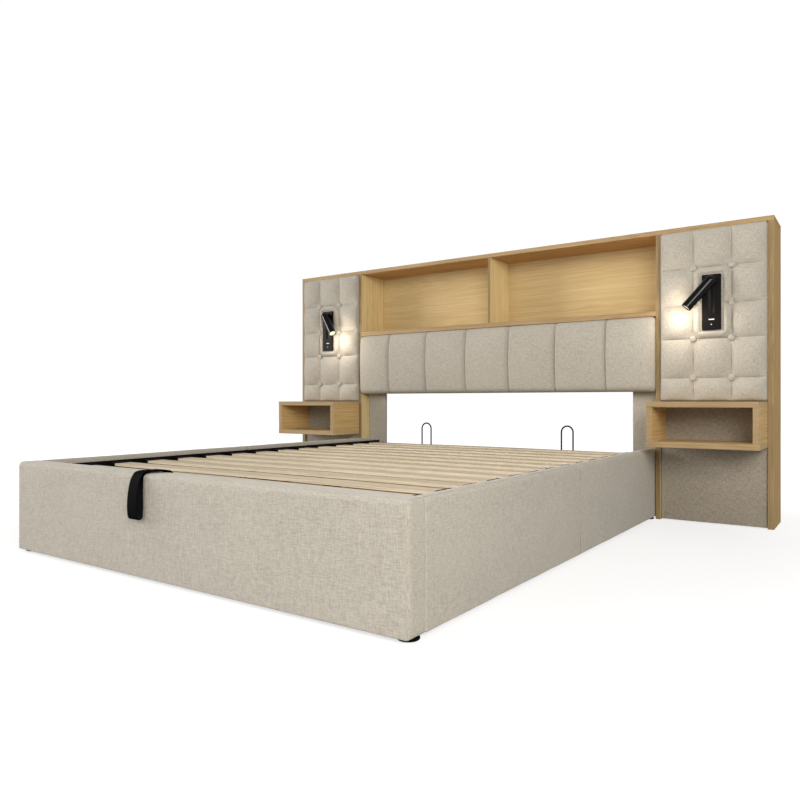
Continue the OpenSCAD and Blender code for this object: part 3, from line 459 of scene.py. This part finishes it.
# ---------------------------------------------------------------- headboard legs
# Two boards in the same linen carry the cushion's board and the shelf; they stand
# in the shade behind the rails' ends.
LEG_X, LEG_HALF, LEG_THICK = 825, 64, 20
upholstered("leg_covers", [((s * LEG_X - LEG_HALF, LEG, 0),
    (s * LEG_X + LEG_HALF, LEG + LEG_THICK, SHELF), 2, (2, 2, 2, 2), (1, 1)) for s in (-1, 1)],
    cover, "headboard_legs", slack=0.0)

# ---------------------------------------------------------------- back cushion
# One foam pad over the whole width, sewn into seven upright channels; each channel
# swells between its seams and the ends are drawn in by them.
CUSHION = dict(half=888, low=608, high=966, seam=2074, back=2153.7, bow=20, crown=10, pinched=800,
    hold=90)
CHANNELS = np.array([-888, -657.5, -394.5, -131.5, 131.5, 394.5, 657.5, 888])
GROOVE = dict(deep=8, left=9, right=30, reach=130)
BEAD = dict(high=12.5, rise=4.5, fade=25)


def parabola(v, cuts):
    """0 at the seams and 1 in the middle between them: 4 u (1 - u) of the share u."""
    k = np.clip(np.searchsorted(cuts, v, side="right") - 1, 0, len(cuts) - 2)
    u = (v - cuts[k]) / (cuts[k + 1] - cuts[k])
    return np.clip(4 * u * (1 - u), 0, 1)


def seam_groove(beside):
    """Depth under the cover at a distance from a seam: a groove, exp(-(d/left)^2) to its left and
    exp(-d/right) to its right, where the folded allowance lifts a bead, 1 - exp(-(d/rise)^2)
    times exp(-d/fade)."""
    right = np.clip(beside, 0, None)
    bead = (1 - np.exp(-(right / BEAD["rise"]) ** 2)) * np.exp(-right / BEAD["fade"])
    return np.where(beside < 0, GROOVE["deep"] * np.exp(-(beside / GROOVE["left"]) ** 2),
        GROOVE["deep"] * np.exp(-right / GROOVE["right"]) - BEAD["high"] * bead)


def cushion():
    """The rounded outline carried along X; the front bows out over its height, seams too, less
    near the ends, and swells by the root of the parabola between two seams. A seam is a groove
    with a bead to its right, and pinches the top and bottom in; small creases run from there."""
    c = CUSHION
    rows = padded_rows((-c["half"], c["seam"], c["low"]), (c["half"], c["back"], c["high"]), 0,
        (26, 3, 3, 26), (19, 19), 9.0, stations(CHANNELS, 26))
    x, y, z = rows[..., 0], rows[..., 1], rows[..., 2]
    across = parabola(x, CHANNELS)
    swell = across ** 0.5
    height = (z - c["low"]) / (c["high"] - c["low"])
    edge = np.minimum(height, 1 - height)
    bow = np.clip(4 * height * (1 - height), 0, 1)
    held = 1 - 0.75 * np.exp(-(c["half"] - np.abs(x)) / c["hold"])
    front = np.clip((c["back"] - 25 - y) / 40, 0, 1)
    seam = np.exp(-(across / 0.08) ** 2) * (np.abs(x) < c["pinched"])
    crease = waves(rows * (1, 0, 0.35), 5, 46) * np.exp(-edge / 0.16) * (1 - swell * 0.4)
    beside = x[..., None] - CHANNELS[1:-1]
    sunk = np.where(np.abs(beside) < GROOVE["reach"], seam_groove(beside), 0).sum(-1)
    y = y - front * (c["bow"] * bow ** 0.8 * held + c["crown"] * swell * (0.35 + 0.65 * bow ** 0.35)
        + 0.8 * crease - sunk)
    z = z + np.where(height < 0.5, 1, -1) * seam * 1.6 * np.exp(-edge / 0.08)
    return np.stack([x, y, z], -1)


pad = mesh("back_cushion", [skin(cushion())], cover)
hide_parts("headboard_cushion")

# ---------------------------------------------------------------- tufted side panels
# Foam on a board, drawn in by eight buttons and seams into square tufts; in the middle
# one tall tuft has a firm flat seat for the lamp's plate.
PANEL = dict(inner=912.4, outer=1364.6, low=563, high=1352.6, seam=2086, back=2125)
COLUMNS = np.array([912.4, 1061, 1223, 1364.6])
ROWS = np.array([563, 669, 849, 1006, 1175, 1352.6])
BUTTONS = np.array([(x, z) for x in COLUMNS[1:3] for z in ROWS[1:5]])
SEAT = ((1093, 1191), (881, 1143))
CROWN, SEAT_HIGH, ROUNDING = 26, 12, 0.68
DIMPLE = dict(start=10, wide=42)
PLEAT = dict(high=1.3, at=20, wide=13)


def tuft_height(x, z):
    """Swell of the tufts over their seams, in millimetres: the product of the two parabolas to
    the power ROUNDING, less a dimple and short pleats round each button. In the tall tuft it is
    a round bead between the lamp's flat seat and the seams, with the side seams running in."""
    tall = (x > COLUMNS[1]) & (x < COLUMNS[2]) & (z > ROWS[2]) & (z < ROWS[4])
    away = np.stack([x, z], -1)[..., None, :] - BUTTONS
    reach = np.sqrt((away ** 2).sum(-1))
    first = reach.argmin(-1)[..., None]
    near = np.take_along_axis(reach, first, -1)[..., 0]
    turn = np.arctan2(*np.take_along_axis(away, first[..., None], -2)[..., 0, ::-1].transpose(2, 0, 1))
    dimple = np.clip((near - DIMPLE["start"]) / DIMPLE["wide"], 0, 1) ** 0.6
    pleats = PLEAT["high"] * np.exp(-((near - PLEAT["at"]) / PLEAT["wide"]) ** 2) * np.cos(4 * turn)
    h = CROWN * parabola(x, COLUMNS) ** ROUNDING * parabola(z, ROWS) ** ROUNDING * dimple - pleats
    out = np.max([SEAT[0][0] - x, x - SEAT[0][1], SEAT[1][0] - z, z - SEAT[1][1]], 0)
    inner = np.min([x - COLUMNS[1], COLUMNS[2] - x, z - ROWS[2], ROWS[4] - z], 0)
    w = np.clip(out, 0, None) / np.maximum(np.clip(out, 0, None) + np.clip(inner, 0, None), 1e-6)
    notch = 1 - 0.9 * np.exp(-((z - ROWS[3]) / 6) ** 2)
    bead = (0.55 * CROWN * np.clip(4 * w * (1 - w), 0, 1) ** 0.6 + SEAT_HIGH * (1 - w)) * notch
    return np.where(tall, np.where(out > 0, bead * np.clip((near - 8) / 30, 0.15, 1), SEAT_HIGH), h)


def tufted_panel(side):
    """A board's outline carried along X, its front pushed out by the tufts."""
    p = PANEL
    across = np.sort(np.append(stations(COLUMNS, 30), SEAT[0]))
    up = np.sort(np.append(stations(ROWS, 30), SEAT[1]))
    rows = padded_rows((p["inner"], p["seam"], p["low"]), (p["outer"], p["back"], p["high"]), 0,
        (10, 2, 2, 10), (10, 10), 9.0, across, up)
    x, y, z = rows[..., 0], rows[..., 1], rows[..., 2]
    front = np.clip((p["seam"] + 12 - y) / 11, 0, 1)
    loose = np.abs(x - (SEAT[0][0] + SEAT[0][1]) / 2) > 60
    y = y - front * (tuft_height(x, z) + 0.5 * waves(rows, 21 + side, 60) * loose)
    return np.stack([side * x, y, z], -1)


for side, word in ((-1, "left"), (1, "right")):
    pad = mesh(f"tufted_cover_{word}", [skin(tufted_panel(side))], cover)
    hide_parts(f"tufted_panel_{word}")


def button(x, z):
    """A lathe profile turned round Y: a short barrel under a low dome."""
    r = np.array([0.3, 4.6, 9.2, 12.4, 14.1, 14.4, 14.0, 12.6, 4, 0.3])[:, None]
    y = np.array([12.0, 11.7, 10.7, 9.2, 7.4, 5.8, 4.4, 3.6, 0.0, 0.0])[:, None]
    a = np.linspace(0, 2 * math.pi, 28, endpoint=False)
    return np.stack([x + r * np.cos(a), PANEL["seam"] - y + 0 * a, z + r * np.sin(a)], -1)


buttons = mesh("covered_buttons", [skin(button(s * x, z)) for s in (-1, 1) for x, z in BUTTONS], cover)
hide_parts("tuft_buttons")

# ---------------------------------------------------------------- plain lower panels
# Thin padded boards in linen below the nightstands, down to the floor. Their linen is a darker
# copy of the cover with a stronger weave: painted shade of the nightstands over them.
# painted shade: the cover's linen made darker for the panels under the nightstands
painted_shade_cover = linen("painted_shade_linen", "b3a99a", "776f62", 1.4)
LOWER = dict(inner=912.5, outer=1364.5, low=4, high=562.5, front=HEAD + 8, back=HEAD + 28)
sides = ((-LOWER["outer"], -LOWER["inner"]), (LOWER["inner"], LOWER["outer"]))
upholstered("lower_panel_covers", [((x0, LOWER["front"], LOWER["low"]),
    (x1, LOWER["back"], LOWER["high"]), 2, (5, 5, 1, 1), (2, 2)) for x0, x1 in sides],
    painted_shade_cover, "lower_panels", slack=0.4, seed=8)

# ---------------------------------------------------------------- nightstands
# Open oak boxes: two shelves over and under two sides, glued and doweled, hung from the
# headboard.
STAND_FRONT = 1850
# painted shade: in front of Y = STAND_FRONT + 1 the faces take darker tones
oak_stand = timber("oak_stand", 0, "d8bd90 c3a678 a08258",
    band=STAND_FRONT + 1, edge="b29b75 9f8662 826a49")
oak_side = timber("oak_stand_side", 1, "e2c48e d0af76 a98a58",
    band=STAND_FRONT + 1, edge="b29b75 9f8662 826a49")
for word in ("left", "right"):
    dress(oak_stand, f"nightstand_shelves_{word}")
    dress(oak_side, f"nightstand_sides_{word}")

# ---------------------------------------------------------------- reading lamps
# A flat aluminium plate, lacquered black, with a shallow bed for the tube; the tube
# swivels and tilts on its knuckle and is lit through a warm frosted lens.
lamp_black = enamel("lamp_lacquer", "09090a", 0.22, shine=0.25)
plate_black = enamel("plate_lacquer", "0c0a0a", 0.45, shine=0.12)
white = enamel("white_plastic", "f1f1ee", 0.35, shine=0.4)
lens = Finish("lit_lens", Roughness=0.4, Emission_Strength=1.05)
ring = lens.cloud(lens.place(), (90, 90, 90), 1.0)
lit = lens.ramp(ring, (0.2, colour("f8ddb2")), (0.8, colour("fff0d6")))
lens = lens.done(Base_Color=lens.blend(0.97, lit, BLACK), Emission_Color=lit)
PIVOT = np.array((1142, 2036, 1104))
SWIVEL, TILT, TUBE, SWITCH_UP = math.radians(38.6), math.radians(13), 156, 910
BULB_PAST, BULB_FORWARD = 40, 20


def switch_finish(x, z):
    """Black plastic with a white ring-lit centre: a step by the distance from the knob's axis."""
    f = Finish("switch_knob", Specular_IOR_Level=0.2)
    at = f.node("ShaderNodeMapping", None, {"Vector": f.place(),
        "Location": (-x / 1000, 0, -z / 1000), "Scale": (1, 0, 1)})
    away = f.node("ShaderNodeVectorMath", {"operation": "LENGTH"}, {0: at}, out=1)
    return f.done(Base_Color=f.ramp(away * 200.0, (0.42, colour("f4f4f0")), (0.5, colour("0c0c0e"))),
        Roughness=0.4 + 0.1 * f.cloud(at, (300, 300, 300)))


for side, word in ((-1, "left"), (1, "right")):
    dress(plate_black, f"lamp_plate_{word}")
    dress(lamp_black, f"lamp_knuckle_{word}", f"lamp_head_{word}")
    dress(lens, f"lamp_lens_{word}")
    dress(switch_finish(side * PIVOT[0], SWITCH_UP), f"lamp_switch_{word}")
    way = np.array([-side * math.cos(TILT) * math.sin(SWIVEL), -math.sin(TILT),
        -math.cos(TILT) * math.cos(SWIVEL)])
    light = bpy.data.lights.new(f"lamp_light_{word}", "POINT")
    light.energy, light.color, light.shadow_soft_size = 1.2, (1.0, 0.89, 0.74), 0.03
    bulb = bpy.data.objects.new(f"lamp_light_{word}", light)
    place = PIVOT * (side, 1, 1) - (0, MIDDLE + BULB_FORWARD, 0) + way * (TUBE + BULB_PAST)
    bulb.location = place / 1000
    scene.collection.objects.link(bulb)
    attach(bulb, f"lamp_tube_{word}")
dress(white, "charging_sockets")

# ---------------------------------------------------------------- platform
# A welded frame of black tubes; bent birch slats sit in plastic holders on its sides,
# and two wire loops stop the mattress at the head.
birch = timber("slat_birch", 0, "e3d6c0 d5c6ac b9a78d", 0.1, 0.12, 0.42)
dress(birch, "slats")
dress(black_steel, "platform_frame", "mattress_retainers", "top_bracket_left", "top_bracket_right")
dress(black_plastic, "slat_holders")

# ---------------------------------------------------------------- lift strap
# Folded black webbing, fixed on the platform's end and laid over the foot panel; its
# fold hangs open in front as a grip.
STRAP = dict(wide=48, thick=2.0, x=-112, skew=38, gap=5, loop=23, low=194)
TUBE_TOP, TUBE_FRONT = 298, 85


def spline(points, cuts=6):
    """A smooth way through the points, each stretch a cubic set by its four neighbours."""
    p = np.vstack([points[:1], points, points[-1:]])
    t = np.arange(cuts)[:, None] / cuts
    a, b, c, d = (p[i:len(p) - 3 + i, None] for i in range(4))
    way = 0.5 * (2 * b + (c - a) * t + (2 * a - 5 * b + 4 * c - d) * t ** 2
        + (3 * b - a - 3 * c + d) * t ** 3)
    return np.vstack([way.reshape(-1, points.shape[1]), points[-1:]])


def webbing():
    """The strap's way in Y and Z, on the frame's tube, over the panel, down its face and back, with
    a thin round-edged section square to it; ribs run along it."""
    s, over, tube, end = STRAP, TOP + 4, TUBE_TOP, TUBE_FRONT
    drop = over - s["low"]
    under = [(end + 36, tube + 1.3), (end + 27, tube + 1.3), (end + 18, tube + 2.6),
        (end + 8, tube + 13), (FOOT + 1.4, over - 5), (FOOT - 12, over + 0.5),
        (FOOT / 2, over + 0.5), (16, over), (2, over - 6), (0.6 - s["gap"], over - 24),
        (-s["gap"], s["low"] + 70), (-s["gap"] - 0.5, s["low"] + 18)]
    fold = np.array([(0.18, 0.025), (0.5, 0), (0.82, 0.03), (0.98, 0.14), (1, 0.36), (0.86, 0.58),
        (0.63, 0.75), (0.33, 0.88)])
    fold = np.stack([-s["gap"] - fold[:, 0] * s["loop"], s["low"] + 1 + fold[:, 1] * drop], 1)
    back = [(-1, over - 1.6), (14, over + 3.3), (FOOT / 2, over + 3.9), (FOOT - 10, over + 3.8),
        (FOOT + 4.8, over - 2.4), (end + 11.6, tube + 14.6), (end + 20, tube + 5.9),
        (end + 28, tube + 4.4), (end + 36, tube + 4.4)]
    way = spline(np.vstack([under, fold, back]))
    slope = np.gradient(way, axis=0)
    slope /= np.linalg.norm(slope, axis=1, keepdims=True)
    side = np.stack([-slope[:, 1], slope[:, 0]], 1)
    x = s["x"] + s["skew"] * (0.5 - np.clip((end + 10 - way[:, 0]) / (end + 10), 0, 1))
    across = np.linspace(-1, 1, 33)
    edge = 1 - np.clip((np.abs(across) - 0.94) / 0.06, 0, 1) ** 2 * 0.75
    rib = 0.9 + 0.1 * np.cos(across * 16 * math.pi)
    upper = np.stack([across * s["wide"] / 2, edge * rib * s["thick"] / 2], 1)
    ring = np.vstack([upper, upper[::-1] * (1, -1)])
    return np.stack([x[:, None] + ring[:, 0], way[:, :1] + side[:, :1] * ring[:, 1],
        way[:, 1:] + side[:, 1:] * ring[:, 1]], -1)


weave = Finish("black_webbing", Specular_IOR_Level=0.02)
at = weave.place()
cross = weave.cloud(at, (1100, 260, 260), 2.0)
weave = weave.done(Base_Color=weave.ramp(cross, (0.3, colour("040405")), (0.8, colour("0b0c0d"))),
    Roughness=0.62 + 0.2 * cross, Normal=weave.bump(cross, 0.4, 0.8))
strap = mesh("lift_strap_webbing", [skin(webbing())], weave, "platform")
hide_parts("lift_strap")

# ---------------------------------------------------------------- gas struts
# Black lacquered cylinders on studs at the box, ground steel rods on studs at the
# platform.
rod = enamel("ground_rod", "c4c7cb", 0.16, 1.0, 0.5)
for word in ("left", "right"):
    dress(black_steel, f"strut_cylinder_{word}")
    dress(rod, f"strut_rod_{word}")
